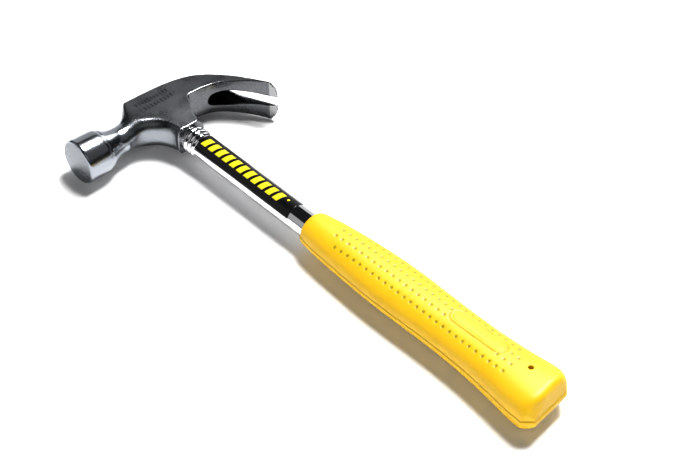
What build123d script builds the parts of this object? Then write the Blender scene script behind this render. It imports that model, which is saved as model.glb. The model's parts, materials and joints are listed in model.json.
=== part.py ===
from build123d import *
import os
from math import cos, pi, sin

# Claw hammer with a tubular steel shaft and a moulded grip, lying on its side.
# X runs from the striking face to the claws, Y from the butt to the crown, Z up out of the cheek.
# Every shape is drawn about the point where the shaft axis crosses the axis of the bell,
# and is then moved so that the hammer stands over the origin with its lowest side on Z = 0.

# ---- driving dimensions, millimetres --------------------------------------------------------
FACE_X = -65.8            # striking face
TIP_X = 62.0              # claw tips
CROWN_Y = 16.2            # top of the head
BUTT_Y = -328.2           # lower end of the grip
CLAW_TIP_HALF = 14.8      # half the width over both claws at their tips

BELL_R = 14.3
FACE_BEVEL = 1.3
SHOULDER_X, SHOULDER_R = -49.5, 13.8
STEP_X, STEP_R = -44.5, 10.6
NECK_X, NECK_R = -35.5, 8.5
CHEEK_HALF = 10.7         # half the thickness over the cheeks
RIM_HALF = 9.5            # the same at the lower rim of the socket
RIM_Y = -26.6
SOCKET_R = 10.3
NECK_END_X = -8.0         # where the neck ends, inside the cheeks
THROAT_X, THROAT_Y, THROAT_R = -27.0, -23.6, 15.3
WEB_START_X = -30.0
WEB_HALF = 6.5            # half the thickness of the throat's edge
WEB_LAYERS = ((0.0, WEB_HALF), (1.3, 8.4), (3.0, 9.6))   # distance in from the edge, half thickness

SLOT_ROOT_X = 32.5        # centre of the slot's round inner end
SLOT_ROOT_HALF = 2.0      # half its width at the crown, at its inner end and past the tips
SLOT_TIP_HALF = 3.0
SLOT_UNDER_HALF = 3.7     # half its width on the side that faces the handle
SLOT_UNDER_Y = -22.0

TUBE_R = 7.94             # five eighths of an inch across
TUBE_WALL = 1.5
TUBE_TOP_Y = 14.6
TUBE_END_Y = -303.0
CRIMP_COUNT = 3
CRIMP_PITCH = 3.4
CRIMP_RISE = 0.95
CRIMP_FIRST_Y = -28.9

LABEL_START_Y, LABEL_END_Y = -40.0, -124.5
LABEL_THICKNESS = 0.14
LABEL_FROM_ANGLE, LABEL_TO_ANGLE = -60.0, 160.0

PLUG_DEPTH = 9.0
END_PLUG_LENGTH = 12.0
END_PLUG_FLANGE = 1.8
PLUG_CHAMFER = 0.6

GRIP_START_Y = -137.4
GRIP_HOLE_R = 1.5
GRIP_HOLE_DEPTH = 4.0
GRIP_HOLE_X, GRIP_HOLE_Y = 4.0, -307.0
# Grip sections: distance along Y, half width, half thickness, sideways offset, squareness.
GRIP_SECTIONS = [
    (GRIP_START_Y, 10.0, 10.0, 0.6, 2.0),
    (-140.5, 11.2, 10.7, 0.8, 2.0),
    (-155.0, 13.9, 11.1, 1.5, 2.0),
    (-175.0, 16.1, 11.4, 1.8, 2.0),
    (-213.0, 18.4, 11.5, 2.3, 2.0),
    (-258.0, 17.0, 11.6, 2.0, 2.1),
    (-290.0, 18.2, 12.5, 1.4, 2.3),
    (-312.0, 20.0, 13.3, 1.1, 2.5),
    (BUTT_Y, 20.6, 13.7, 0.9, 2.6),
]
BUTT_CORNER = 6.5         # corners taken off the butt, seen from above
BUTT_SLANT = 4.0          # how much shorter the claw side of the butt is
CLEARANCE = 5.0           # how far the cutting shapes reach past what they cut

# ---- outlines and sections ------------------------------------------------------------------
# Neck sections: distance along X, height of the middle, half height, half thickness, squareness.
NECK_SECTIONS = [
    (-33.5, 0.0, NECK_R - 0.1, NECK_R - 0.1, 2.0),
    (-27.0, 0.7, 9.4, 9.1, 2.3),
    (-22.0, 2.4, 11.0, 10.1, 3.2),
    (-17.5, 4.2, 11.6, CHEEK_HALF - 0.05, 5.0),
    (-10.0, 4.6, 11.2, CHEEK_HALF - 0.1, 5.0),
]
# The cheeks seen from above, from the crown on the bell's side round to the claws' side.
CHEEK_OUTLINE = [
    (-16.2, CROWN_Y), (-19.3, 9.5), (-21.0, 3.0), (-20.4, -3.4), (-15.6, -7.8), (-11.8, -11.0),
    (-11.2, -19.5), (-5.6, RIM_Y), (4.9, RIM_Y), (15.0, -6.2), (22.5, -3.6), (24.0, 4.0),
    (20.0, 13.0), (12.0, 15.2), (0.0, CROWN_Y),
]
TAPER_START_Y = -8.0      # below this the cheeks thin towards the rim
# Claw outline on the plane of symmetry: the outer curve runs from the crown to the tip, and the
# inner curve from the tip's bevel back to the root of the claws.
CLAW_OUTER = [(12.0, 15.2), (29.7, 10.0), (43.3, -2.8), (53.7, -19.3), (TIP_X, -34.9)]
CLAW_INNER = [(58.0, -31.6), (51.5, -21.9), (42.9, -12.7), (33.4, -6.3), (22.5, -3.6)]
CLAW_ROOT = (12.0, -2.0)  # where the wedge ends inside the cheeks
# Half width of the claws along X, and the start of their plan inside the cheeks.
CLAW_WIDTHS = [(16.0, CHEEK_HALF - 0.1), (30.0, CHEEK_HALF + 0.2), (46.0, 12.9), (59.0, CLAW_TIP_HALF)]
CLAW_PLAN_START_X = 10.0
TIP_CORNER = (TIP_X - 0.5, CLAW_TIP_HALF - 3.2)
BLADE_DEPTH = 60.0        # deep enough for the plan to cut through the whole wedge

# ---- placing --------------------------------------------------------------------------------
BELL_AXIS = Location((-(FACE_X + TIP_X) / 2, -(CROWN_Y + BUTT_Y) / 2, CLAW_TIP_HALF))


def oval(half_u, half_v, power, steps=24):
    """Points of a superellipse, from a plain ellipse at power 2 to a squarer one above it."""
    points = []
    for i in range(steps):
        angle = 2 * pi * (i + 0.5) / steps
        c, s = cos(angle), sin(angle)
        u = half_u * abs(c) ** (2 / power) * (1 if c > 0 else -1)
        v = half_v * abs(s) ** (2 / power) * (1 if s > 0 else -1)
        points.append((u, v))
    return points


def oval_across_x(x, y, half_y, half_z, power):
    """A closed section of the head, square to the bell's axis."""
    points = [(x, y + u, v) for u, v in oval(half_y, half_z, power)]
    return make_face(Spline(points, periodic=True))


def oval_across_y(y, x, half_x, half_z, power):
    """A closed section of the grip, square to the shaft."""
    points = [(x + u, y, v) for u, v in oval(half_x, half_z, power)]
    return make_face(Spline(points, periodic=True))


def ring_about_y(radius, y_from, y_to):
    """A cylinder on the shaft's axis between two stations."""
    length = abs(y_to - y_from)
    middle = (y_from + y_to) / 2
    return Location((0, middle, 0), (90, 0, 0)) * Cylinder(radius, length)


def bell_and_neck():
    """The turned striking end, with its flat bevelled face, and the round neck."""
    face_r = BELL_R - FACE_BEVEL
    bevel_x = FACE_X + FACE_BEVEL
    outline = [
        Line((FACE_X, 0), (FACE_X, face_r)),
        Line((FACE_X, face_r), (bevel_x, BELL_R)),
        Line((bevel_x, BELL_R), (SHOULDER_X, SHOULDER_R)),
        Spline((SHOULDER_X, SHOULDER_R), (STEP_X, STEP_R), (NECK_X, NECK_R), tangents=((1, -0.12), (1, 0))),
        Line((NECK_X, NECK_R), (NECK_END_X, NECK_R)),
        Line((NECK_END_X, NECK_R), (NECK_END_X, 0)),
        Line((NECK_END_X, 0), (FACE_X, 0)),
    ]
    return revolve(make_face(outline), axis=Axis.X)


def neck_flare():
    """The neck grows out into the cheeks."""
    return loft([oval_across_x(*row) for row in NECK_SECTIONS])


def cheeks():
    """The flat-sided middle of the head, which thins towards the rim of the socket."""
    outline = Polyline(*CHEEK_OUTLINE, close=True)
    block = extrude(make_face(outline), CHEEK_HALF, both=True)
    top_y, low_y = CROWN_Y + CLEARANCE, RIM_Y - CLEARANCE
    thinning = Polyline(
        (top_y, CHEEK_HALF), (TAPER_START_Y, CHEEK_HALF), (RIM_Y, RIM_HALF), (low_y, RIM_HALF),
        (low_y, -RIM_HALF), (RIM_Y, -RIM_HALF), (TAPER_START_Y, -CHEEK_HALF), (top_y, -CHEEK_HALF),
        close=True,
    )
    taper = extrude(Plane.YZ * make_face(thinning), 2 * TIP_X, both=True)
    return block & taper


def throat_web():
    """The sweep from under the neck round to the socket, thinnest along its edge."""
    return Part() + [throat_layer(THROAT_R + inset, half) for inset, half in WEB_LAYERS]


def throat_layer(radius, half):
    """One layer of the throat, cut to an arc about the throat's centre."""
    start = (THROAT_X, THROAT_Y + radius)
    middle = (THROAT_X + radius * cos(pi / 4), THROAT_Y + radius * sin(pi / 4))
    end = (THROAT_X + radius, THROAT_Y)
    outline = [
        Line((WEB_START_X, 0), (WEB_START_X, start[1])),
        Line((WEB_START_X, start[1]), start),
        ThreePointArc(start, middle, end),
        Line(end, (0, THROAT_Y)),
        Line((0, THROAT_Y), (0, 0)),
        Line((0, 0), (WEB_START_X, 0)),
    ]
    return extrude(make_face(outline), half, both=True)


def socket():
    """The round boss that holds the top of the shaft."""
    boss = ring_about_y(SOCKET_R, RIM_Y, 0.0)
    return boss & Box(4 * SOCKET_R, -4 * RIM_Y, 2 * CHEEK_HALF)


def claw_blade():
    """Both claws as one curved wedge that widens towards the tips."""
    profile = [
        Spline(*CLAW_OUTER, tangents=((1, -0.1), (0.45, -0.9))),
        Line(CLAW_OUTER[-1], CLAW_INNER[0]),
        Spline(*CLAW_INNER, tangents=((-0.5, 0.86), (-1, 0.05))),
        Line(CLAW_INNER[-1], CLAW_ROOT),
        Line(CLAW_ROOT, CLAW_OUTER[0]),
    ]
    blade = extrude(make_face(profile), CLAW_TIP_HALF, both=True)
    root, tip = CLAW_WIDTHS[0], CLAW_WIDTHS[-1]
    half = make_face([
        Spline(*CLAW_WIDTHS, tangents=((1, 0), (1, 0.12))),
        Line(tip, TIP_CORNER),
        Line(TIP_CORNER, (TIP_X, 0)),
        Line((TIP_X, 0), (CLAW_PLAN_START_X, 0)),
        Line((CLAW_PLAN_START_X, 0), (CLAW_PLAN_START_X, root[1])),
        Line((CLAW_PLAN_START_X, root[1]), root),
    ])
    half_plan = extrude(Plane.XZ * half, BLADE_DEPTH, both=True)
    plan = half_plan + mirror(half_plan, about=Plane.XY)
    return blade & plan


def nail_slot():
    """The tapered gap between the claws, wider on the side that faces the handle."""
    upper = slot_section(SLOT_ROOT_HALF, SLOT_TIP_HALF, CROWN_Y)
    lower = slot_section(SLOT_UNDER_HALF, SLOT_UNDER_HALF, SLOT_UNDER_Y)
    return loft([upper, lower]) + extrude(lower, CROWN_Y - SLOT_UNDER_Y, dir=(0, -1, 0))


def slot_section(root_half, tip_half, y):
    """The slot seen from the crown: a round inner end, and straight sides past the tips."""
    far_x = TIP_X + CLEARANCE
    low, high = (SLOT_ROOT_X, y, -root_half), (SLOT_ROOT_X, y, root_half)
    outline = [
        ThreePointArc(low, (SLOT_ROOT_X - root_half, y, 0), high),
        Line(high, (far_x, y, tip_half)),
        Line((far_x, y, tip_half), (far_x, y, -tip_half)),
        Line((far_x, y, -tip_half), low),
    ]
    return make_face(outline)


def head():
    """One steel forging: bell, neck, cheeks, socket and claws, with the eye bored through."""
    body = cheeks() + bell_and_neck() + neck_flare() + throat_web() + socket() + claw_blade()
    return body - nail_slot() - ring_about_y(TUBE_R, RIM_Y - CLEARANCE, CROWN_Y + CLEARANCE)


def shaft_tube():
    """Chromed steel tube, swaged into round beads just below the socket."""
    outline = [Line((TUBE_R - TUBE_WALL, TUBE_END_Y), (TUBE_R, TUBE_END_Y))]
    bottom = CRIMP_FIRST_Y - CRIMP_COUNT * CRIMP_PITCH
    outline.append(Line((TUBE_R, TUBE_END_Y), (TUBE_R, bottom)))
    for i in range(CRIMP_COUNT):
        low = bottom + i * CRIMP_PITCH
        crest = (TUBE_R + CRIMP_RISE, low + CRIMP_PITCH / 2)
        outline.append(ThreePointArc((TUBE_R, low), crest, (TUBE_R, low + CRIMP_PITCH)))
    outline.append(Line((TUBE_R, CRIMP_FIRST_Y), (TUBE_R, TUBE_TOP_Y)))
    outline.append(Line((TUBE_R, TUBE_TOP_Y), (TUBE_R - TUBE_WALL, TUBE_TOP_Y)))
    outline.append(Line((TUBE_R - TUBE_WALL, TUBE_TOP_Y), (TUBE_R - TUBE_WALL, TUBE_END_Y)))
    return revolve(make_face(outline), axis=Axis.Y)


def expander_plug():
    """Steel plug driven into the top of the tube to lock it in the eye."""
    plug = ring_about_y(TUBE_R - TUBE_WALL, TUBE_TOP_Y - PLUG_DEPTH, TUBE_TOP_Y)
    return chamfer(plug.edges().filter_by(GeomType.CIRCLE), PLUG_CHAMFER)


def end_plug():
    """Plastic plug that closes the lower end of the tube inside the grip."""
    stem = ring_about_y(TUBE_R - TUBE_WALL, TUBE_END_Y, TUBE_END_Y + END_PLUG_LENGTH)
    flange = ring_about_y(TUBE_R, TUBE_END_Y - END_PLUG_FLANGE, TUBE_END_Y)
    return stem + flange


def label():
    """Printed film wrapped most of the way round the tube."""
    start, end = LABEL_FROM_ANGLE * pi / 180, LABEL_TO_ANGLE * pi / 180
    middle = (start + end) / 2
    inner, outer = TUBE_R, TUBE_R + LABEL_THICKNESS

    def at(radius, angle):
        return (radius * cos(angle), LABEL_START_Y, radius * sin(angle))

    section = [
        ThreePointArc(at(inner, start), at(inner, middle), at(inner, end)),
        Line(at(inner, end), at(outer, end)),
        ThreePointArc(at(outer, end), at(outer, middle), at(outer, start)),
        Line(at(outer, start), at(inner, start)),
    ]
    return extrude(make_face(section), LABEL_START_Y - LABEL_END_Y, dir=(0, -1, 0))


def grip():
    """Soft moulded sleeve with a flared, corner-cut butt, closed at its lower end."""
    sleeve = loft([oval_across_y(*section_of(row)) for row in GRIP_SECTIONS])
    end_half_width, end_offset = GRIP_SECTIONS[-1][1], GRIP_SECTIONS[-1][3]
    left, right = end_offset - end_half_width, end_offset + end_half_width
    far = right + CLEARANCE
    start_y = GRIP_START_Y + CLEARANCE
    plan = Polyline(
        (-far, start_y), (-far, BUTT_Y + BUTT_CORNER), (left, BUTT_Y + BUTT_CORNER),
        (left + BUTT_CORNER, BUTT_Y), (right - BUTT_CORNER, BUTT_Y + BUTT_SLANT),
        (right, BUTT_Y + BUTT_SLANT + BUTT_CORNER), (far, start_y), close=True,
    )
    sleeve = sleeve & extrude(make_face(plan), far, both=True)
    hole_top = GRIP_SECTIONS[-2][2]
    hole = Location((GRIP_HOLE_X, GRIP_HOLE_Y, hole_top)) * Cylinder(GRIP_HOLE_R, 2 * GRIP_HOLE_DEPTH)
    bore = ring_about_y(TUBE_R, TUBE_END_Y - END_PLUG_FLANGE, start_y)
    return sleeve - bore - hole


def section_of(row):
    """One row of the section table in the order that the section builder takes."""
    y, half_x, half_z, x, power = row
    return y, x, half_x, half_z, power


def main():
    os.makedirs("parts", exist_ok=True)
    pieces = {
        "hammer_head": head(),
        "shaft_tube": shaft_tube(),
        "expander_plug": expander_plug(),
        "shaft_label": label(),
        "handle_grip": grip(),
        "tube_end_plug": end_plug(),
    }
    for name, shape in pieces.items():
        export_step(BELL_AXIS * shape, f"parts/{name}.step")


main()
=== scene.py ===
import json
from math import cos, pi, radians, sin

import bmesh
import bpy
import numpy as np
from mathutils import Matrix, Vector


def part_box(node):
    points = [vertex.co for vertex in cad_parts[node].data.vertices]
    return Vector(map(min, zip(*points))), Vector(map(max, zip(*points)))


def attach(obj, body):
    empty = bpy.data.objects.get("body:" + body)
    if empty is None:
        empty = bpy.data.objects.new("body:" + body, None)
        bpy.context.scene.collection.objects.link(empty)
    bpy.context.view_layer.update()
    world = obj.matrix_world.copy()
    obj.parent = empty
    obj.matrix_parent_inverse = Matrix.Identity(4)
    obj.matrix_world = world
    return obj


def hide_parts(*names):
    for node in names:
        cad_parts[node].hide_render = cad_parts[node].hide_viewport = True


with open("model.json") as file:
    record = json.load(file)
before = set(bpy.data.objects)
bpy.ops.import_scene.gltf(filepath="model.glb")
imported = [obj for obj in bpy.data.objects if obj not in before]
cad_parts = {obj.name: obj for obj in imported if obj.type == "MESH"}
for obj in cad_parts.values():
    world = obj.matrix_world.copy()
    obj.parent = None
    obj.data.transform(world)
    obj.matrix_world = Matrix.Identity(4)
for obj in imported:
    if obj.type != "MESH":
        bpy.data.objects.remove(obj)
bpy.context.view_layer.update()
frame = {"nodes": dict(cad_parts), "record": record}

# The hammer lies on its side: X from the striking face to the claws, Y from the butt to the
# crown, Z up out of the cheek. Shapes are worked out in millimetres about the point where the
# shaft's axis crosses the bell's axis, and put into the frame, in metres, by to_frame().
MM = 0.001
MOUNTS = {m["name"]: m for m in frame["record"]["mounts"]}
HEAD_LOW, HEAD_HIGH = (np.array(c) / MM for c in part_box("hammer_head"))
TUBE_LOW, TUBE_HIGH = (np.array(c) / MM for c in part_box("shaft_tube"))
LABEL_LOW, LABEL_HIGH = (np.array(c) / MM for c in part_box("shaft_label"))
GRIP_LOW, GRIP_HIGH = (np.array(c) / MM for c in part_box("handle_grip"))
FACE = np.array(MOUNTS["striking_face"]["pos_m"]) / MM
CENTRE = np.array([(TUBE_LOW[0] + TUBE_HIGH[0]) / 2, FACE[1], (HEAD_LOW[2] + HEAD_HIGH[2]) / 2])

# ---- driving numbers, millimetres about the head's centre -----------------------------------
FACE_X = FACE[0] - CENTRE[0]
TIP_X = HEAD_HIGH[0] - CENTRE[0]
CROWN_Y = HEAD_HIGH[1] - CENTRE[1]
TIP_HALF = HEAD_HIGH[2] - CENTRE[2]
TUBE_TOP_Y, TUBE_END_Y = TUBE_HIGH[1] - CENTRE[1], TUBE_LOW[1] - CENTRE[1]
LABEL_TOP_Y, LABEL_END_Y = LABEL_HIGH[1] - CENTRE[1], LABEL_LOW[1] - CENTRE[1]
GRIP_START_Y, BUTT_Y = GRIP_HIGH[1] - CENTRE[1], GRIP_LOW[1] - CENTRE[1]

# The bell: its radius, the bevel round the face, the face's dome, and the groove behind it.
# Past NECK_FROM_X the turned shape hands over to the flare of the cheeks.
BELL_R, FACE_BEVEL, FACE_CROWN = 14.25, 1.2, 0.35
GROOVE_X, GROOVE_DEPTH, GROOVE_WIDTH = -48.0, 0.4, 0.5
NECK_FROM_X, NECK_HANDOVER = -38.0, 6.0

# The cheeks: half their thickness at the shaft and at the socket's rim, and where they thin.
CHEEK_HALF, RIM_HALF = 10.7, 9.5
CHEEK_TAPER_Y, RIM_Y = 6.0, -26.6

# The socket: its claw side at the rim, how that side leans, and the gap round the shaft.
SOCKET_X, SOCKET_LEAN, EYE_CLEARANCE = 10.5, 0.17, 0.03

# The throat: the arc's centre and radius, and how it pulls in where it meets the rim.
THROAT_X, THROAT_Y, THROAT_R = -26.7, -23.6, 15.6
RIM_PULL_IN, RIM_SQUARER, RIM_SHALLOWER = 2.0, 1.3, 2.5

# The claws: the direction of the tips and how far they reach along it, how rounded they are,
# the bevel under them as a point and a normal, and the length that is ground bright.
TIP_ALONG_X, TIP_ALONG_Y, TIP_ALONG = 0.5, -0.866, 62.2
TIP_ROUND, TIP_ROUND_POWER = 4.2, 3.3
TIP_BEVEL_X, TIP_BEVEL_Y, TIP_BEVEL_NX, TIP_BEVEL_NY = 57.6, -31.6, -0.788, -0.616
GROUND_LENGTH = 5.6

# The nail slot: the centre of its round root.
SLOT_ROOT_X = 33.0

# Plain bars struck into the cheek, in rows: first and last X, Y, and how many.
STAMP_ROWS = ((-13.8, 8.9, 8.5, 11), (-11.4, 8.6, 2.6, 9))
STAMP_HALF_X, STAMP_HALF_Y = 0.7, 1.5

# The shaft and the beads swaged into it just below the rim.
TUBE_R, TUBE_WALL, TUBE_END_CHAMFER = 7.94, 1.5, 0.4
TUBE_SEGMENTS, SHARP_ANGLE = 160, radians(40)
CRIMPS, CRIMP_PITCH, CRIMP_RISE, CRIMP_FIRST_Y = 3, 3.4, 0.9, -28.9
CRIMP_LAST_Y = CRIMP_FIRST_Y - CRIMPS * CRIMP_PITCH

# The grip: the butt's three planes, each a point in X and Y and a normal, the parting line and
# the step below it, the rows of dimples (where across, first Y, how many), the long oval with
# its engraved lines, and the hanging hole.
BUTT_PLANES = ((-18.9, -323.1, -0.666, -0.746), (-13.3, BUTT_Y, 0.137, -0.9906),
               (20.5, -318.8, 0.707, -0.707))
PARTING_STEP, PARTING_Z = 0.5, 0.3
DIMPLE_PITCH, DIMPLE_R, DIMPLE_DEPTH = 5.09, 1.3, 0.3
DIMPLE_ROWS = ((-9.0, -165.6, 27), (-3.06, -160.5, 28), (3.06, -160.5, 28), (9.0, -165.6, 26))
BADGE_X, BADGE_Y, BADGE_HALF, BADGE_R = 3.4, -268.9, 20.4, 4.7
ENGRAVING_DEPTH, ENGRAVING_WIDTH, ENGRAVING_INSET = 0.45, 0.42, 1.5
HOLE_X, HOLE_Y, HOLE_R, HOLE_DEPTH = 4.1, -307.0, 1.5, 4.0

# The printed film: the angles it spans, its thickness, how far its edge and its underside stand
# off the tube, its mesh and rounded edge, and the slanted bars and dot printed on it.
LABEL_FROM, LABEL_TO, LABEL_THICK = radians(-60.0), radians(160.0), 0.14
LABEL_EDGE_LIFT, LABEL_UNDER_LIFT = 0.01, 0.005
LABEL_ROWS, LABEL_COLUMNS, LABEL_ROUND = 212, 80, 0.3
BAR_COUNT, BAR_PITCH, BAR_HALF, BAR_LENGTH_HALF, BAR_LEAN = 11, 6.55, 2.2, 3.35, 0.32
BAR_FIRST_Y, BAR_ANGLE = -45.2, radians(100.5)
DOT_Y, DOT_ACROSS, DOT_R = -117.3, -1.6, 0.9

HEAD_STEP, GRIP_STEP, QUICK_STEP = 0.55, 0.45, 0.8

# The camera: where it looks from, in degrees and millimetres, and at what.
VIEW_AZIMUTH, VIEW_ELEVATION, VIEW_DISTANCE = -42.24, 42.53, 1114.4
AIM = (13.4, -155.5, 0.0)
LENS, SENSOR = 99.8, 36.0

# Studio, in metres and degrees: name, azimuth, elevation, distance, width and height, radiance,
# whether it shows in reflections, and whether it lights rough surfaces.
LIGHTS = (
    ("key", 106.0, 67.0, 3.6, (1.15, 1.15), 58.0, True, True),
    ("back_panel", 132.0, 18.0, 4.5, (5.8, 3.1), 0.72, True, True),
    ("strip", 107.0, 26.0, 4.0, (1.2, 2.6), 2.4, True, True),
    ("far_wall", 36.0, 38.0, 3.6, (3.0, 2.4), 0.17, True, True),
    ("left_wall", 225.0, 25.0, 3.6, (4.0, 2.6), 0.45, True, False),
    ("side_fill", -60.0, 15.0, 3.6, (2.6, 2.0), 5.0, False, True),
    ("room", -40.0, 42.0, 3.6, (3.0, 2.2), 0.6, True, True),
)
WORLD_COLOUR, WORLD_STRENGTH = (0.9, 0.95, 1.0, 1), 0.03
EXPOSURE, GAMMA = 0.1, 0.75
FLOOR_HALF = 8.0


# ---- fields and curves ----------------------------------------------------------------------
def smooth_min(a, b, k):
    h = np.clip(0.5 + 0.5 * (b - a) / k, 0, 1)
    return b + (a - b) * h - k * h * (1 - h)


def smooth_max(a, b, k):
    return -smooth_min(-a, -b, k)


def ease(t):
    t = np.clip(t, 0, 1)
    return t * t * (3 - 2 * t)


def curve_through(knots, steps=8):
    """Points along a smooth curve through the knots."""
    before, after = 2 * np.array(knots[0]) - knots[1], 2 * np.array(knots[-1]) - knots[-2]
    p = np.array([before, *knots, after], float)
    out = []
    for i in range(1, len(p) - 2):
        a, b, c, d = p[i - 1:i + 3]
        for t in np.arange(steps) / steps:
            out.append(0.5 * (2 * b + (c - a) * t + (2 * a - 5 * b + 4 * c - d) * t ** 2
                              + (3 * b - a - 3 * c + d) * t ** 3))
    out.append(p[-2])
    return np.array(out)


def graph(*knots):
    """A smooth function of one variable through the knots, flat beyond its ends."""
    xs, ys = curve_through(knots, 12).T
    return lambda x: np.interp(x, xs, ys)


def outline_distance(x, y, outline):
    """Distance from a closed outline, negative inside."""
    nearest = np.full(np.broadcast(x, y).shape, 1e9)
    sign = np.ones(nearest.shape)
    for (ax, ay), (bx, by) in zip(outline, np.roll(outline, -1, axis=0)):
        ex, ey, wx, wy = bx - ax, by - ay, x - ax, y - ay
        t = np.clip((wx * ex + wy * ey) / (ex * ex + ey * ey), 0, 1)
        nearest = np.minimum(nearest, (wx - ex * t) ** 2 + (wy - ey * t) ** 2)
        up, down, left = y >= ay, y < by, ex * wy > ey * wx
        sign = np.where((up & down & left) | ~(up | down | left), -sign, sign)
    return np.sqrt(nearest) * sign


def bullnose(edge, depth, z, half, power=2.0):
    """A rounded edge: edge is the distance past the wall, which curves back over depth."""
    u = np.maximum(edge / depth + 1, 0)
    level = (u ** power + (np.abs(z) / half) ** power + 1e-9) ** (1 / power) - 1
    return level * np.minimum(depth, half) * 0.8


# ---- meshes ---------------------------------------------------------------------------------
def to_frame(points):
    """Millimetres about the head's centre, into metres in the frame."""
    return (np.asarray(points, float) + CENTRE) * MM


def new_piece(name, points, faces, masks):
    """A smooth mesh object from points in millimetres, with per-point masks for the material."""
    mesh = bpy.data.meshes.new(name)
    mesh.from_pydata(to_frame(points).tolist(), [], [list(map(int, f)) for f in faces])
    mesh.validate()
    mesh.update()
    for poly in mesh.polygons:
        poly.use_smooth = True
    for key, data in masks.items():
        layer = mesh.attributes.new(key, "FLOAT", "POINT")
        layer.data.foreach_set("value", np.asarray(data, np.float32))
    ob = bpy.data.objects.new(name, mesh)
    bpy.context.scene.collection.objects.link(ob)
    return ob


def skin(field, low, high, step):
    """The surface where the field is zero, as evenly sized quads."""
    axes = [np.arange(a, b + step, step) for a, b in zip(low, high)]
    gx, gy, gz = np.meshgrid(*axes, indexing="ij", sparse=True)
    v = np.broadcast_to(field(gx, gy, gz), [len(a) for a in axes]).astype(np.float32)
    shape = np.array(v.shape) - 1
    number, points = cell_points(v, shape)
    points = onto_surface(field, points * step + np.array([a[0] for a in axes]))
    return points, np.concatenate([crossed_quads(v < 0, number, axis) for axis in range(3)])


def cell_points(v, shape):
    """One point in each grid cell that the surface passes, and the cells' numbers."""
    total = np.zeros((*shape, 3), np.float32)
    count = np.zeros(shape, np.float32)
    for a in [(i, j, k) for i in (0, 1) for j in (0, 1) for k in (0, 1)]:
        for axis in range(3):
            if a[axis]:
                continue
            b = tuple(c + (n == axis) for n, c in enumerate(a))
            va = v[tuple(slice(c, c + n) for c, n in zip(a, shape))]
            vb = v[tuple(slice(c, c + n) for c, n in zip(b, shape))]
            cut = (va < 0) != (vb < 0)
            t = np.where(cut, va / np.where(cut, va - vb, 1), 0)
            for n in range(3):
                total[..., n] += np.where(cut, a[n] + (t if n == axis else 0), 0)
            count += cut
    used = count > 0
    number = np.full(shape, -1, np.int64)
    number[used] = np.arange(used.sum())
    return number, np.argwhere(used) + total[used] / count[used][:, None]


def crossed_quads(inside, number, axis):
    """A quad round each grid edge along the axis that goes through the surface."""
    u, w = [n for n in range(3) if n != axis]
    here = [slice(1, n) for n in inside.shape]
    here[axis] = slice(0, inside.shape[axis] - 1)
    there = list(here)
    there[axis] = slice(1, inside.shape[axis])
    a, b = inside[tuple(here)], inside[tuple(there)]
    edge = np.argwhere(a != b)
    base = edge + np.array([0 if n == axis else 1 for n in range(3)])
    quad = []
    for du, dw in ((1, 1), (0, 1), (0, 0), (1, 0)):
        q = base.copy()
        q[:, u] -= du
        q[:, w] -= dw
        quad.append(number[q[:, 0], q[:, 1], q[:, 2]])
    quad = np.stack(quad, 1)
    flip = a[tuple(edge.T)] != (axis == 1)
    quad[~flip] = quad[~flip][:, ::-1]
    return quad


def onto_surface(field, points, rounds=3, probe=0.05, reach=0.5):
    """Moves points along the field's slope until they lie on its surface."""
    start = points.copy()
    sides = probe * np.eye(3)
    for _ in range(rounds):
        f = field(*points.T)
        slope = np.stack([field(*(points + s).T) - field(*(points - s).T) for s in sides], 1)
        slope = slope / (2 * probe)
        size = np.maximum((slope ** 2).sum(1), 0.05)
        points = points - slope * (f / size)[:, None]
        points = start + np.clip(points - start, -reach, reach)
    return points


def bend(field, points, reach=0.7):
    """How strongly the surface turns: near 1 on an outer edge, 0 where it is flat."""
    around = sum(field(*(points + s * reach * np.eye(3)[n]).T) for n in range(3) for s in (-1, 1))
    return np.clip(around / (2 * reach), 0, 1)


def lathe(profile, segments):
    """Points and quads of a closed profile of (y, radius) swung about the shaft's axis."""
    angles = [2 * pi * i / segments for i in range(segments)]
    points = [(r * cos(a), y, r * sin(a)) for a in angles for y, r in profile]
    n = len(profile)
    faces = []
    for i in range(segments):
        j = (i + 1) % segments
        for k in range(n):
            m = (k + 1) % n
            faces.append((i * n + k, i * n + m, j * n + m, j * n + k))
    return points, faces


def face_outwards(ob):
    work = bmesh.new()
    work.from_mesh(ob.data)
    bmesh.ops.recalc_face_normals(work, faces=work.faces)
    work.to_mesh(ob.data)
    work.free()


# ---- the head -------------------------------------------------------------------------------
# Functions of X: the turned bell's radius, then the neck and its flare into the cheeks.
body_profile = graph((FACE_X, BELL_R + 0.1), (-56.0, BELL_R - 0.15), (-50.5, 13.9), (-48.5, 13.45),
                     (-46.5, 12.7), (-44.2, 11.55), (-41.8, 10.45), (-39.3, 9.55), (-36.5, 8.9),
                     (-32.5, 8.45), (-29.0, 8.2), (-24.0, 7.0), (-16.0, 5.0))
flare_top = graph((-39.0, 9.5), (-36.5, 8.95), (-33.0, 8.7), (-29.5, 9.0), (-26.0, 10.2),
                  (-23.0, 12.2), (-20.5, 14.5), (-18.0, 16.6), (-10.0, 17.5))
flare_half_z = graph((-39.0, 9.5), (-36.5, 8.95), (-33.0, 8.7), (-29.0, 9.1), (-25.0, 10.2),
                     (-21.5, 11.7), (-17.5, 13.5), (-12.0, 15.0))
flare_power = graph((-38.0, 2.0), (-33.0, 2.0), (-28.0, 2.3), (-24.0, 2.9), (-20.0, 4.0),
                    (-15.0, 5.0))

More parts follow.
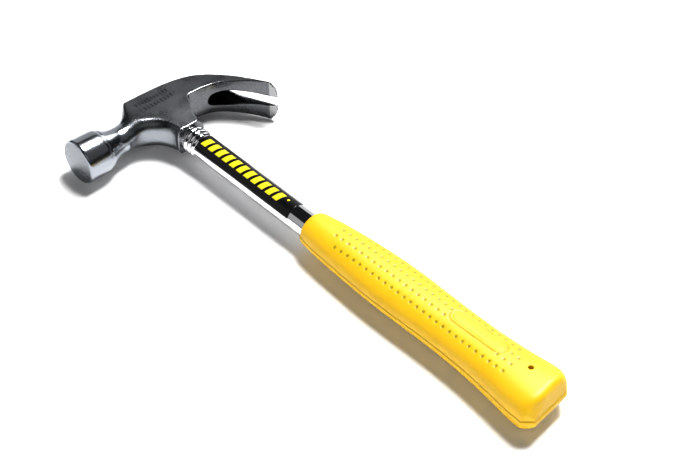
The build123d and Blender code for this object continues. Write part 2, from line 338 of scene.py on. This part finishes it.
# The throat's edge: half its thickness, how deep its rounding goes, and how square that is.
throat_half = graph((-38.0, 8.8), (-33.0, 8.75), (-30.0, 9.0), (-26.7, 9.6), (-23.0, 10.4),
                    (-19.0, 11.0), (-15.0, 11.1))
throat_depth = graph((-38.0, 8.8), (-30.0, 8.9), (-24.0, 9.7), (-18.0, 10.5))
throat_power = graph((-38.0, 2.0), (-31.0, 2.0), (-25.0, 2.35), (-18.0, 2.7))

# The claws from the side: the outer curve over the crown, and the inner curve.
CLAW_OUTER = curve_through([(-30.0, 16.3), (-17.0, CROWN_Y), (2.0, 16.0), (12.0, 15.2),
                            (21.5, 13.3), (29.7, 10.0), (37.0, 4.4), (43.3, -2.8), (49.0, -11.0),
                            (53.7, -19.3), (58.0, -28.0), (61.8, -35.8), (64.0, -40.5)])
CLAW_INNER = curve_through([(60.9, -38.2), (58.0, -32.3), (55.1, -27.1), (51.5, -21.9),
                            (47.4, -17.0), (42.9, -12.6), (38.2, -8.9), (33.6, -6.4),
                            (28.5, -5.0), (23.0, -4.0), (18.0, -3.8)])
BLADE_INSIDE_HEAD = [(14.0, -3.8), (-4.0, -4.0), (-17.0, 0.0)]
BLADE = np.concatenate([CLAW_OUTER[8:], CLAW_INNER[:-1], BLADE_INSIDE_HEAD])
BELOW_CROWN = np.concatenate([CLAW_OUTER, [(TIP_X + 30, -90.0), (-90, -90.0), (-90.0, 16.3)]])
CHEEK_PAD = np.array([(-16.4, 17.0), (-18.4, 12.5), (-20.4, 8.5), (-20.0, 3.0), (-14.0, -1.0),
                      (-7.0, -6.0), (-4.0, -14.0), (-3.5, -27.5), (4.4, -27.5), (15.0, -6.2),
                      (16.0, 17.0)])
claw_half = graph((10.0, CHEEK_HALF), (20.0, CHEEK_HALF), (30.0, 11.1), (40.0, 12.0),
                  (50.0, 13.4), (59.0, TIP_HALF), (64.0, TIP_HALF))

# The nail slot: half its width at the outer face and underneath, and the blade round it.
slot_outer_half = graph((26.0, -4.5), (42.0, -1.6), (47.0, 0.2), (50.0, 1.6), (53.5, 2.5),
                        (63.0, 2.8))
slot_under_half = graph((26.0, 2.9), (34.0, 4.1), (42.0, 4.8), (52.0, 4.8), (63.0, 3.7))
under_swell = graph((10.0, 0.0), (20.0, 1.6), (32.0, 2.0), (42.0, 1.3), (52.0, 0.4), (63.0, 0.1))
blade_thickness = graph((20.0, 18.0), (29.0, 14.0), (34.0, 10.0), (40.0, 7.0), (48.0, 4.6),
                        (55.0, 3.5), (63.0, 2.4))


def half_thickness(x, y):
    """How far out the flat sides of cheeks and claws lie; it lets the round bell through."""
    taper = np.clip((CHEEK_TAPER_Y - y) / (CHEEK_TAPER_Y - RIM_Y), 0, 1)
    cheek = CHEEK_HALF - (CHEEK_HALF - RIM_HALF) * taper ** 2
    side = cheek + (claw_half(x) - cheek) * ease((x - 8.0) / 14.0)
    return side + 12.0 * ease((-23.5 - x) / 4.0)


def turned_end(x, y, z):
    """The bell with its bevelled, slightly domed face and the groove behind it."""
    r = np.sqrt(y * y + z * z)
    bevel = (r - (BELL_R - FACE_BEVEL) - (x - FACE_X)) * 0.7071
    groove = GROOVE_DEPTH * np.exp(-((x - GROOVE_X) / GROOVE_WIDTH) ** 2)
    wall = smooth_max((r - body_profile(x) + groove) * 0.8, bevel, 0.35)
    face = FACE_X + FACE_CROWN * (r / BELL_R) ** 2 - x
    return smooth_max(smooth_max(wall, face, 0.3), x + 14.0, 1.0)


def flare(x, y, z):
    """The neck opening out into the cheeks."""
    top = flare_top(x)
    across = np.clip(x - THROAT_X, 0, THROAT_R - 0.5)
    arc = THROAT_Y + np.sqrt(THROAT_R ** 2 - across ** 2)
    bottom = arc - 0.8 - 3.0 * ease((x + 33.0) / 7.0)
    half_y, middle = (top - bottom) / 2, (top + bottom) / 2
    half_z, power = flare_half_z(x), flare_power(x)
    u, v = np.abs(y - middle) / half_y, np.abs(z) / half_z
    level = (u ** power + v ** power + 1e-9) ** (1 / power) - 1
    shell = level * np.minimum(half_y, half_z) * 0.9
    return smooth_max(shell, x + 10.0, 1.0)


def throat_edge(x, y, z):
    """The fully rounded edge that follows the throat's arc; it swings clear of the bell."""
    clear = 8.0 * ease((-30.5 - x) / 13.0)
    near_rim = ease((-12.0 - y) / 13.0)
    arc = THROAT_R - np.sqrt((x - THROAT_X) ** 2 + (y - THROAT_Y) ** 2)
    neck = THROAT_Y + THROAT_R - y - 0.45 * ease((THROAT_X - x) / 7.0) - clear
    past = np.where(x > THROAT_X, arc, neck) + RIM_PULL_IN * near_rim
    half = throat_half(x) - 0.7 * ease((-8.0 - y) / 18.0) + clear
    depth = throat_depth(x) - RIM_SHALLOWER * near_rim
    return bullnose(past, depth, z, half, throat_power(x) + RIM_SQUARER * near_rim)


def socket_block(x, y, z):
    """The boss round the shaft, before the throat is cut from it."""
    wall_x = SOCKET_X + SOCKET_LEAN * (y - RIM_Y)
    claw_side = bullnose(x - wall_x, 2.0 + 9.0 * ease((-8.0 - y) / 20.0), z, 12.0)
    far_sides = np.maximum(-17.0 - x, y - 6.0)
    return smooth_max(smooth_max(claw_side, RIM_Y - y, 0.5), far_sides, 0.5)


def slot_gap(x, z, depth):
    """The nail slot: a V, widest underneath, that only breaks through towards the tips."""
    share = np.clip(depth / blade_thickness(x), 0, 1.2)
    half = slot_outer_half(x) + (slot_under_half(x) - slot_outer_half(x)) * share
    round_end = np.sqrt((x - SLOT_ROOT_X) ** 2 + z * z)
    return (np.where(x < SLOT_ROOT_X, round_end, np.abs(z)) - half) * 0.85


def tip_cut(x, y, z):
    """The rounded ends of the claws, with the bevel ground under them."""
    rounding = TIP_ROUND * np.abs(z / TIP_HALF) ** TIP_ROUND_POWER
    tip = TIP_ALONG_X * x + TIP_ALONG_Y * y - TIP_ALONG + rounding
    bevel = TIP_BEVEL_NX * (x - TIP_BEVEL_X) + TIP_BEVEL_NY * (y - TIP_BEVEL_Y)
    return smooth_max(tip, np.where(x > 50, bevel, -50.0), 0.3)


def head_field(x, y, z):
    """Negative inside the forging."""
    depth = -outline_distance(x, y, BELOW_CROWN)
    behind = ease((x - NECK_FROM_X) / NECK_HANDOVER)
    solid = turned_end(x, y, z) * (1 - behind) + flare(x, y, z) * behind
    pad = outline_distance(x, y, CHEEK_PAD)
    solid = smooth_min(solid, smooth_min(socket_block(x, y, z), pad, 1.0), 1.0)
    solid = smooth_max(solid, throat_edge(x, y, z), 0.6)
    swell = under_swell(x) * np.clip(1 - (z / half_thickness(x, y)) ** 2, 0, 1)
    solid = smooth_min(solid, outline_distance(x, y, BLADE) - swell, 3.0)
    solid = smooth_max(solid, np.abs(z) - half_thickness(x, y), 0.45)
    crown = 0.7 * (z / CHEEK_HALF) ** 2 * (x > -60) - depth
    solid = smooth_max(solid, crown, 0.6)
    solid = smooth_max(solid, np.where(x < 13.0, RIM_Y - y, -50.0), 0.4)
    solid = smooth_max(solid, tip_cut(x, y, z), 0.25)
    solid = smooth_max(solid, x - TIP_X + 0.25, 0.3)
    solid = smooth_max(solid, -slot_gap(x, z, depth), 0.5)
    return smooth_max(solid, TUBE_R + EYE_CLEARANCE - np.sqrt(x * x + z * z), 0.25)


def stamping(x, y, z):
    """1 in the plain bars struck into the upper cheek, 0 elsewhere."""
    total = np.zeros(x.shape)
    for first, last, row_y, count in STAMP_ROWS:
        pitch = (last - first) / (count - 1)
        i = np.clip(np.round((x - first) / pitch), 0, count - 1)
        away = np.maximum(np.abs(x - first - i * pitch) - STAMP_HALF_X,
                          np.abs(y - row_y) - STAMP_HALF_Y)
        total = np.maximum(total, 1 - ease((away + 0.3) / 0.6))
    return total * (z > 8)


def polish_and_sheen_mask(x, y, z):
    """1 on the polished bell and neck, fading into the throat; less on the striking face. Along
    the lower throat it is painted sheen, a brighter band for the floor's reflection.
    """
    polish_and_sheen = 1 - ease((x + 31.0) / 9.0)
    # Painted sheen: the lower throat gets part of the polished colour, so the floor's reflection
    # shows there as a light band.
    throat = (1 - ease((x + 12.0) / 8.0)) * (1 - ease((np.abs(z) - 3.5) / 3.0))
    polish_and_sheen = np.maximum(polish_and_sheen, 0.6 * throat * ease((1.0 - y) / 6.0))
    on_face = (x < FACE_X + 0.6) & (np.sqrt(y * y + z * z) < BELL_R - FACE_BEVEL)
    return np.where(on_face, 0.35, polish_and_sheen)


def build_head(step):
    low = (FACE_X - 1.5, -37.5, -TIP_HALF - 1.2)
    high = (TIP_X + 1.5, CROWN_Y + 1.5, TIP_HALF + 1.2)
    points, faces = skin(head_field, low, high, step)
    x, y, z = points.T
    depth = -outline_distance(x, y, BELOW_CROWN)
    # Painted shade: the nail slot's walls are painted near black (the scale mask), a little less
    # towards the tips.
    slot = 1 - ease((slot_gap(x, z, depth) - 0.15) / 0.5)
    slot = slot * (1 - 0.5 * ease((x - 40.0) / 16.0))
    along = TIP_ALONG_X * x + TIP_ALONG_Y * y
    ground = ease((along - TIP_ALONG + GROUND_LENGTH) / 0.8) * (x > 45)
    masks = {"polish_and_sheen": polish_and_sheen_mask(x, y, z), "edge": bend(head_field, points),
             "scale": slot * (1 - ground), "ground": ground, "stamp": stamping(x, y, z)}
    ob = new_piece("head_forging", points, faces, masks)
    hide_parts("hammer_head")
    return ob


# ---- the shaft ------------------------------------------------------------------------------
def crimp_height(y):
    """How far the swaged beads stand proud of the tube."""
    turn = (CRIMP_FIRST_Y - y) / CRIMP_PITCH
    inside = (turn >= 0) & (turn <= CRIMPS)
    return np.where(inside, CRIMP_RISE * np.abs(np.sin(pi * turn)) ** 0.75, 0.0)


def build_tube():
    beads = np.linspace(CRIMP_LAST_Y, CRIMP_FIRST_Y, CRIMPS * 14 + 1)
    ys = [TUBE_END_Y, TUBE_END_Y + 0.5, CRIMP_LAST_Y - 1.0, *beads, TUBE_TOP_Y - 0.5, TUBE_TOP_Y]
    outer = []
    for y in ys:
        chamfer = TUBE_END_CHAMFER if y in (TUBE_END_Y, TUBE_TOP_Y) else 0
        outer.append((y, TUBE_R - chamfer + float(crimp_height(y))))
    inner = [(TUBE_TOP_Y, TUBE_R - TUBE_WALL), (TUBE_END_Y, TUBE_R - TUBE_WALL)]
    points, faces = lathe(outer + inner, TUBE_SEGMENTS)
    y = np.array(points)[:, 1]
    beaded = ease(y - CRIMP_LAST_Y + 1.0) * ease(CRIMP_FIRST_Y + 1.5 - y)
    ob = new_piece("shaft", points, faces, {"crimp": beaded})
    face_outwards(ob)
    ob.data.set_sharp_from_angle(angle=SHARP_ANGLE)
    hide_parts("shaft_tube")
    return ob


# ---- the grip -------------------------------------------------------------------------------
# Functions of Y: half its width and thickness, how far it is offset, and how square it is.
grip_half_x = graph((BUTT_Y - 1, 19.8), (-312.0, 19.3), (-300.0, 18.1), (-290.0, 17.2),
                    (-275.0, 16.3), (-258.0, 16.0), (-240.0, 16.2), (-213.0, 16.9),
                    (-195.0, 16.6), (-175.0, 15.3), (-155.0, 13.4), (-143.0, 11.6), (-137.0, 10.4))
grip_half_z = graph((BUTT_Y - 1, 13.7), (-312.0, 13.3), (-290.0, 12.5), (-258.0, 11.7),
                    (-213.0, 11.5), (-175.0, 11.4), (-155.0, 11.1), (-143.0, 10.6), (-137.0, 10.1))
grip_offset = graph((BUTT_Y - 1, 0.9), (-290.0, 1.4), (-258.0, 2.0), (-213.0, 2.3),
                    (-175.0, 1.8), (-137.0, 0.6))
grip_power = graph((BUTT_Y - 1, 2.7), (-312.0, 2.5), (-290.0, 2.3), (-258.0, 2.1),
                   (-213.0, 2.0), (-137.0, 2.0))


def badge_distance(x, y):
    """Distance from the long oval on the grip, negative inside."""
    along = np.maximum(np.abs(y - BADGE_Y) - (BADGE_HALF - BADGE_R), 0)
    return np.sqrt((x - BADGE_X) ** 2 + along ** 2) - BADGE_R


def engraving(x, y):
    """1 along the engraved outline, less along the finer line inside it."""
    badge = badge_distance(x, y)
    outline = np.exp(-(badge / ENGRAVING_WIDTH) ** 2)
    return outline + 0.6 * np.exp(-((badge + ENGRAVING_INSET) / 0.36) ** 2)


def dimples(x, y, z):
    """1 at the bottom of a dimple, 0 away from them."""
    total = np.zeros(np.broadcast(x, y, z).shape)
    offset = grip_offset(y)
    for across, first, count in DIMPLE_ROWS:
        i = np.clip(np.round((first - y) / DIMPLE_PITCH), 0, count - 1)
        away = np.sqrt((x - across - offset) ** 2 + (y - first + i * DIMPLE_PITCH) ** 2)
        on_badge = badge_distance(across + offset, first - i * DIMPLE_PITCH) < 1.2
        total = np.maximum(total, ease((DIMPLE_R - away) / 0.75) * ~(on_badge & (z > 0)))
    return total


def butt_end(x, y, z, lower):
    """The butt's faceted end, sharp at the parting line and rounded above and below it."""
    left, end, right = [(x - px) * nx + (y - py) * ny for px, py, nx, ny in BUTT_PLANES]
    below = np.maximum(-3.2 - z, 0)
    round_off = ease(np.where(z > 0, z / 9.0, below / 6.0))
    butt = smooth_max(smooth_max(left, end, 0.3 + 8.0 * round_off), right, 0.3 + 2.0 * round_off)
    draft = 0.06 * np.maximum(z, 0) + 0.45 * below
    return butt - lower + draft + PARTING_STEP, round_off


def grip_field(x, y, z):
    """Negative inside the moulded grip."""
    lower = PARTING_STEP * ease((PARTING_Z - z) / 0.6)
    half_x, half_z = grip_half_x(y) + lower, grip_half_z(y)
    power, offset = grip_power(y), grip_offset(y)
    level = ((np.abs(x - offset) / half_x) ** power + (np.abs(z) / half_z) ** power
             + 1e-9) ** (1 / power)
    solid = np.sqrt((x - offset) ** 2 + z * z) * (1 - 1 / level)
    butt, round_off = butt_end(x, y, z, lower)
    solid = smooth_max(solid, butt, 0.4 + 4.5 * round_off)
    solid = smooth_max(solid, y - GRIP_START_Y, 2.5)
    near = np.abs(solid) < 3
    solid = solid + DIMPLE_DEPTH * dimples(x, y, z) * near * (np.abs(z) > 4)
    solid = solid + ENGRAVING_DEPTH * engraving(x, y) * (z > 4) * near
    hole = np.maximum(np.sqrt((x - HOLE_X) ** 2 + (y - HOLE_Y) ** 2) - HOLE_R,
                      grip_half_z(y) - HOLE_DEPTH - z)
    solid = smooth_max(solid, -hole, 0.3)
    bore = np.maximum(np.sqrt(x * x + z * z) - TUBE_R + 0.02, TUBE_END_Y - y)
    return smooth_max(solid, -bore, 0.3)


def build_grip(step):
    low = (-21.5, BUTT_Y - 1.5, -15.2)
    high = (23.5, GRIP_START_Y + 1.5, 15.2)
    points, faces = skin(grip_field, low, high, step)
    x, y, z = points.T
    outside = np.abs(x) > TUBE_R + 1.0
    # Painted shade: a dark line along the parting line, and along the engraved lines, for the
    # shade in these grooves.
    parting = 0.8 * np.exp(-((z - PARTING_Z) / 0.35) ** 2) * outside
    # Painted shade: the dimple bottoms and the inside of the hanging hole are painted darker.
    in_hole = (np.sqrt((x - HOLE_X) ** 2 + (y - HOLE_Y) ** 2) < HOLE_R + 0.1) & (z > 4)
    masks = {"dimple": np.maximum(dimples(x, y, z) * (np.abs(z) > 4), 0.3 * in_hole),
             "groove": np.maximum(engraving(x, y) * (z > 4), parting)}
    ob = new_piece("grip_moulding", points, faces, masks)
    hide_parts("handle_grip")
    return ob


# ---- the printed film -----------------------------------------------------------------------
def label_faces(rows, cols):
    """Quads of an outer and an under sheet of rows by cols points, joined round their rim."""
    n = rows * cols
    faces = []
    for i in range(rows - 1):
        for j in range(cols - 1):
            q = (i * cols + j, i * cols + j + 1, (i + 1) * cols + j + 1, (i + 1) * cols + j)
            faces.append(q[::-1])
            faces.append([n + k for k in q])
    rim = list(range(cols)) + [i * cols + cols - 1 for i in range(1, rows)]
    rim += [(rows - 1) * cols + j for j in reversed(range(cols - 1))]
    rim += [i * cols for i in reversed(range(1, rows - 1))]
    for k, m in zip(rim, rim[1:] + rim[:1]):
        faces.append((k, m, n + m, n + k))
    return faces


def label_print(y, arc):
    """Distance from the printed bars and dot, negative inside; arc is the way round the tube."""
    along = BAR_FIRST_Y - y + BAR_LEAN * arc
    i = np.clip(np.round(along / BAR_PITCH), 0, BAR_COUNT - 1)
    bar = np.maximum(np.abs(along - i * BAR_PITCH) - BAR_HALF, np.abs(arc) - BAR_LENGTH_HALF)
    dot = np.sqrt((y - DOT_Y) ** 2 + (arc - DOT_ACROSS) ** 2) - DOT_R
    return np.minimum(bar, dot)


def build_label():
    r = TUBE_R + LABEL_THICK
    ys = np.linspace(LABEL_TOP_Y, LABEL_END_Y, LABEL_ROWS)
    angles = np.linspace(LABEL_FROM, LABEL_TO, LABEL_COLUMNS)
    from_end = np.minimum(ys - LABEL_END_Y, LABEL_TOP_Y - ys)[:, None]
    from_side = np.minimum(angles - LABEL_FROM, LABEL_TO - angles)[None, :] * r
    edge = np.clip(np.minimum(from_end, from_side) / LABEL_ROUND, 0, 1)
    outer_r = TUBE_R + LABEL_EDGE_LIFT + (LABEL_THICK - LABEL_EDGE_LIFT) * np.sqrt(edge)
    a, y = np.meshgrid(angles, ys)
    sheets = [np.stack([radius * np.cos(a), y, radius * np.sin(a)], -1).reshape(-1, 3)
              for radius in (outer_r, TUBE_R + LABEL_UNDER_LIFT)]
    ink = label_print(y, (a - BAR_ANGLE) * r).reshape(-1)
    ob = new_piece("printed_band", np.concatenate(sheets), label_faces(*a.shape),
                   {"ink": np.concatenate([ink, ink])})
    face_outwards(ob)
    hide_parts("shaft_label")
    return ob


# ---- stage, light and camera ----------------------------------------------------------------
def direction(azimuth, elevation):
    """Towards a place seen at these angles, in degrees, from the hammer."""
    a, e = radians(azimuth), radians(elevation)
    return Vector((sin(a) * cos(e), -cos(a) * cos(e), sin(e)))


def build_camera():
    back = direction(VIEW_AZIMUTH, VIEW_ELEVATION)
    data = bpy.data.cameras.new("camera")
    data.lens, data.sensor_width = LENS, SENSOR
    data.clip_start, data.clip_end = 0.05, 50.0
    ob = bpy.data.objects.new("camera", data)
    bpy.context.scene.collection.objects.link(ob)
    ob.location = Vector(to_frame(AIM)) + back * VIEW_DISTANCE * MM
    ob.rotation_euler = back.to_track_quat("Z", "Y").to_euler()
    bpy.context.scene.camera = ob


def build_light(name, azimuth, elevation, distance, size, radiance, glossy, diffuse):
    """A rectangular light that faces the middle of the hammer."""
    data = bpy.data.lights.new(name, "AREA")
    data.shape, data.size, data.size_y = "RECTANGLE", size[0], size[1]
    data.energy = radiance * pi * size[0] * size[1]
    ob = bpy.data.objects.new(name, data)
    bpy.context.scene.collection.objects.link(ob)
    back = direction(azimuth, elevation)
    ob.location = back * distance
    ob.rotation_euler = back.to_track_quat("Z", "Y").to_euler()
    ob.visible_glossy, ob.visible_diffuse = glossy, diffuse


def build_stage():
    s = FLOOR_HALF
    mesh = bpy.data.meshes.new("floor")
    mesh.from_pydata([(-s, -s, 0), (s, -s, 0), (s, s, 0), (-s, s, 0)], [], [(0, 1, 2, 3)])
    floor = bpy.data.objects.new("floor", mesh)
    bpy.context.scene.collection.objects.link(floor)
    floor.data.materials.append(floor_paper())
    world = bpy.data.worlds.new("studio")
    bpy.context.scene.world = world
    world.use_nodes = True
    background = world.node_tree.nodes["Background"]
    background.inputs[0].default_value = WORLD_COLOUR
    background.inputs[1].default_value = WORLD_STRENGTH
    view = bpy.context.scene.view_settings
    view.view_transform, view.exposure, view.gamma = "Standard", EXPOSURE, GAMMA
    for light in LIGHTS:
        build_light(*light)


# ---- materials ------------------------------------------------------------------------------
class Shader:
    """A material under construction: nodes are added and wired by name."""

    def __init__(self, name):
        self.material = bpy.data.materials.new(name)
        self.material.use_nodes = True
        self.tree = self.material.node_tree
        self.bsdf = self.tree.nodes["Principled BSDF"]
        self.place = self.node("ShaderNodeTexCoord").outputs["Object"]

    def node(self, kind, **settings):
        n = self.tree.nodes.new(kind)
        for key, value in settings.items():
            setattr(n, key, value)
        return n

    def wire(self, source, target):
        if hasattr(source, "is_linked"):
            self.tree.links.new(source, target)
        else:
            target.default_value = source

    def set(self, **values):
        """Sets or wires the shader's sockets, such as base_color or roughness."""
        for key, value in values.items():
            socket = key.replace("_", " ").title().replace("Ior", "IOR")
            self.wire(value, self.bsdf.inputs[socket])

    def noise(self, scale, detail=3.0, stretch=(1, 1, 1)):
        mapping = self.node("ShaderNodeMapping")
        mapping.inputs["Scale"].default_value = stretch
        self.wire(self.place, mapping.inputs["Vector"])
        n = self.node("ShaderNodeTexNoise")
        n.inputs["Scale"].default_value = scale
        n.inputs["Detail"].default_value = detail
        n.inputs["Roughness"].default_value = 0.55
        self.wire(mapping.outputs["Vector"], n.inputs["Vector"])
        return n.outputs["Fac"]

    def mask(self, name):
        return self.node("ShaderNodeAttribute", attribute_name=name).outputs["Fac"]

    def span(self, value, low, high, to_low=0.0, to_high=1.0):
        """The value's range from low to high, eased into to_low to to_high."""
        n = self.node("ShaderNodeMapRange", interpolation_type="SMOOTHSTEP")
        self.wire(value, n.inputs["Value"])
        for key, number in (("From Min", low), ("From Max", high),
                            ("To Min", to_low), ("To Max", to_high)):
            self.wire(number, n.inputs[key])
        return n.outputs["Result"]

    def math(self, operation, a, b):
        n = self.node("ShaderNodeMath", operation=operation)
        self.wire(a, n.inputs[0])
        self.wire(b, n.inputs[1])
        return n.outputs["Value"]

    def mix(self, factor, a, b):
        """Between two colours."""
        n = self.node("ShaderNodeMix", data_type="RGBA")
        self.wire(factor, n.inputs["Factor"])
        for value, socket in ((a, n.inputs[6]), (b, n.inputs[7])):
            self.wire(value if hasattr(value, "is_linked") else (*value, 1.0), socket)
        return n.outputs[2]

    def blend(self, factor, a, b):
        """Between two numbers."""
        n = self.node("ShaderNodeMix", data_type="FLOAT")
        self.wire(factor, n.inputs[0])
        self.wire(a, n.inputs[2])
        self.wire(b, n.inputs[3])
        return n.outputs[0]

    def bump(self, height, strength, distance, base=None):
        n = self.node("ShaderNodeBump")
        self.wire(strength, n.inputs["Strength"])
        n.inputs["Distance"].default_value = distance
        self.wire(height, n.inputs["Height"])
        if base is not None:
            self.wire(base, n.inputs["Normal"])
        return n.outputs["Normal"]


def floor_paper():
    s = Shader("floor_paper")
    s.set(base_color=(0.86, 0.86, 0.86, 1), roughness=0.9)
    return s.material


def forged_steel():
    s = Shader("forged_steel")
    polish_and_sheen, ground, stamp = s.mask("polish_and_sheen"), s.mask("ground"), s.mask("stamp")
    grain = s.noise(2400.0, 4.0)
    cloud = s.noise(90.0, 4.0)
    speck = s.noise(700.0)
    brush = s.noise(500.0, 3.0, (0.12, 1, 1))
    worn = s.math("MULTIPLY", s.span(s.mask("edge"), 0.25, 0.8), s.span(speck, 0.35, 0.6))
    worn_ground = s.math("MULTIPLY", ground, s.span(speck, 0.2, 0.45))
    worn = s.math("MAXIMUM", worn, worn_ground)
    cast = s.mix(cloud, (0.138, 0.144, 0.153), (0.175, 0.181, 0.190))
    cast = s.mix(s.span(s.noise(1500.0, 2.0), 0.35, 0.75), cast, (0.23, 0.236, 0.245))
    # The polish mask is real polish on the bell and neck, and painted sheen along the lower
    # throat, a brighter band for the floor's reflection.
    colour = s.mix(polish_and_sheen, cast, (0.39, 0.41, 0.44))
    colour = s.mix(worn, colour, (0.42, 0.415, 0.41))
    colour = s.mix(ground, colour, (0.36, 0.36, 0.365))
    # Painted shade: near black inside the nail slot.
    colour = s.mix(s.mask("scale"), colour, (0.012, 0.012, 0.014))
    struck = s.math("MULTIPLY", stamp, s.span(speck, 0.3, 0.6, 0.35, 0.7))
    colour = s.mix(struck, colour, (0.03, 0.032, 0.038))
    rough = s.span(cloud, 0.3, 0.7, 0.26, 0.32)
    rough = s.blend(polish_and_sheen, rough, s.span(brush, 0.3, 0.7, 0.17, 0.22))
    rough = s.blend(worn, rough, 0.22)
    s.set(base_color=colour, metallic=1.0, roughness=rough)
    s.set(normal=s.bump(grain, s.blend(polish_and_sheen, 0.35, 0.04), 0.00015))
    return s.material


def chrome():
    s = Shader("chrome")
    smear = s.noise(60.0, 3.0, (1, 0.25, 1))
    s.set(base_color=s.mix(smear, (0.78, 0.79, 0.81), (0.86, 0.86, 0.87)), metallic=1.0)
    s.set(roughness=s.span(smear, 0.3, 0.7, 0.03, 0.07))
    dents = s.bump(s.noise(520.0, 2.0), s.blend(s.mask("crimp"), 0.0, 0.6), 0.0004)
    s.set(normal=s.bump(s.noise(900.0, 2.0), 0.02, 0.0001, dents))
    return s.material


def soft_yellow():
    s = Shader("soft_yellow")
    cloud = s.noise(45.0)
    colour = s.mix(cloud, (0.67, 0.435, 0.002), (0.69, 0.45, 0.003))
    # Painted shade: darker in the dimples and inside the hanging hole.
    colour = s.mix(s.span(s.mask("dimple"), 0.05, 0.8), colour, (0.31, 0.25, 0.0))
    # Painted shade: dark lines along the engraved outline and the parting line.
    colour = s.mix(s.span(s.mask("groove"), 0.2, 1.5), colour, (0.22, 0.13, 0.0))
    s.set(base_color=colour, roughness=s.span(cloud, 0.3, 0.7, 0.46, 0.54), ior=1.5)
    s.bsdf.inputs["Specular IOR Level"].default_value = 0.8
    s.set(subsurface_weight=0.2, subsurface_radius=(1.0, 0.55, 0.05), subsurface_scale=0.001)
    s.set(normal=s.bump(s.noise(1800.0), 0.12, 0.0001))
    return s.material


def printed_film():
    s = Shader("printed_film")
    ink = s.span(s.mask("ink"), -0.12, 0.12, 1.0, 0.0)
    s.set(base_color=s.mix(ink, (0.006, 0.006, 0.007), (0.60, 0.54, 0.035)))
    s.set(roughness=s.span(s.noise(70.0), 0.3, 0.7, 0.16, 0.26))
    s.set(normal=s.bump(s.noise(1200.0, 2.0), 0.03, 0.0001))
    return s.material


def plug_steel():
    s = Shader("plug_steel")
    stain = s.noise(220.0, 4.0)
    s.set(base_color=s.mix(stain, (0.30, 0.29, 0.28), (0.50, 0.50, 0.50)), metallic=1.0)
    s.set(roughness=s.span(stain, 0.3, 0.7, 0.3, 0.45))
    s.set(normal=s.bump(s.noise(1500.0), 0.2, 0.0002))
    return s.material


def plug_plastic():
    s = Shader("plug_plastic")
    cloud = s.noise(150.0)
    s.set(base_color=s.mix(cloud, (0.02, 0.02, 0.022), (0.035, 0.035, 0.037)))
    s.set(roughness=s.span(cloud, 0.3, 0.7, 0.4, 0.5))
    s.set(normal=s.bump(s.noise(1500.0), 0.15, 0.0002))
    return s.material


# ---- the scene ------------------------------------------------------------------------------
build_stage()
build_camera()
head = build_head(HEAD_STEP)
grip = build_grip(GRIP_STEP)
pieces = [
    (head, forged_steel(), "forged_steel"),
    (build_tube(), chrome(), "chromed_tube"),
    (build_label(), printed_film(), "printed_film"),
    (grip, soft_yellow(), "soft_grip"),
]
for piece, material, slot in pieces:
    piece.data.materials.append(material)
    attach(piece, "root")
for node, material in (("expander_plug", plug_steel()), ("tube_end_plug", plug_plastic())):
    mesh = frame["nodes"][node].data
    mesh.materials.clear()
    mesh.materials.append(material)
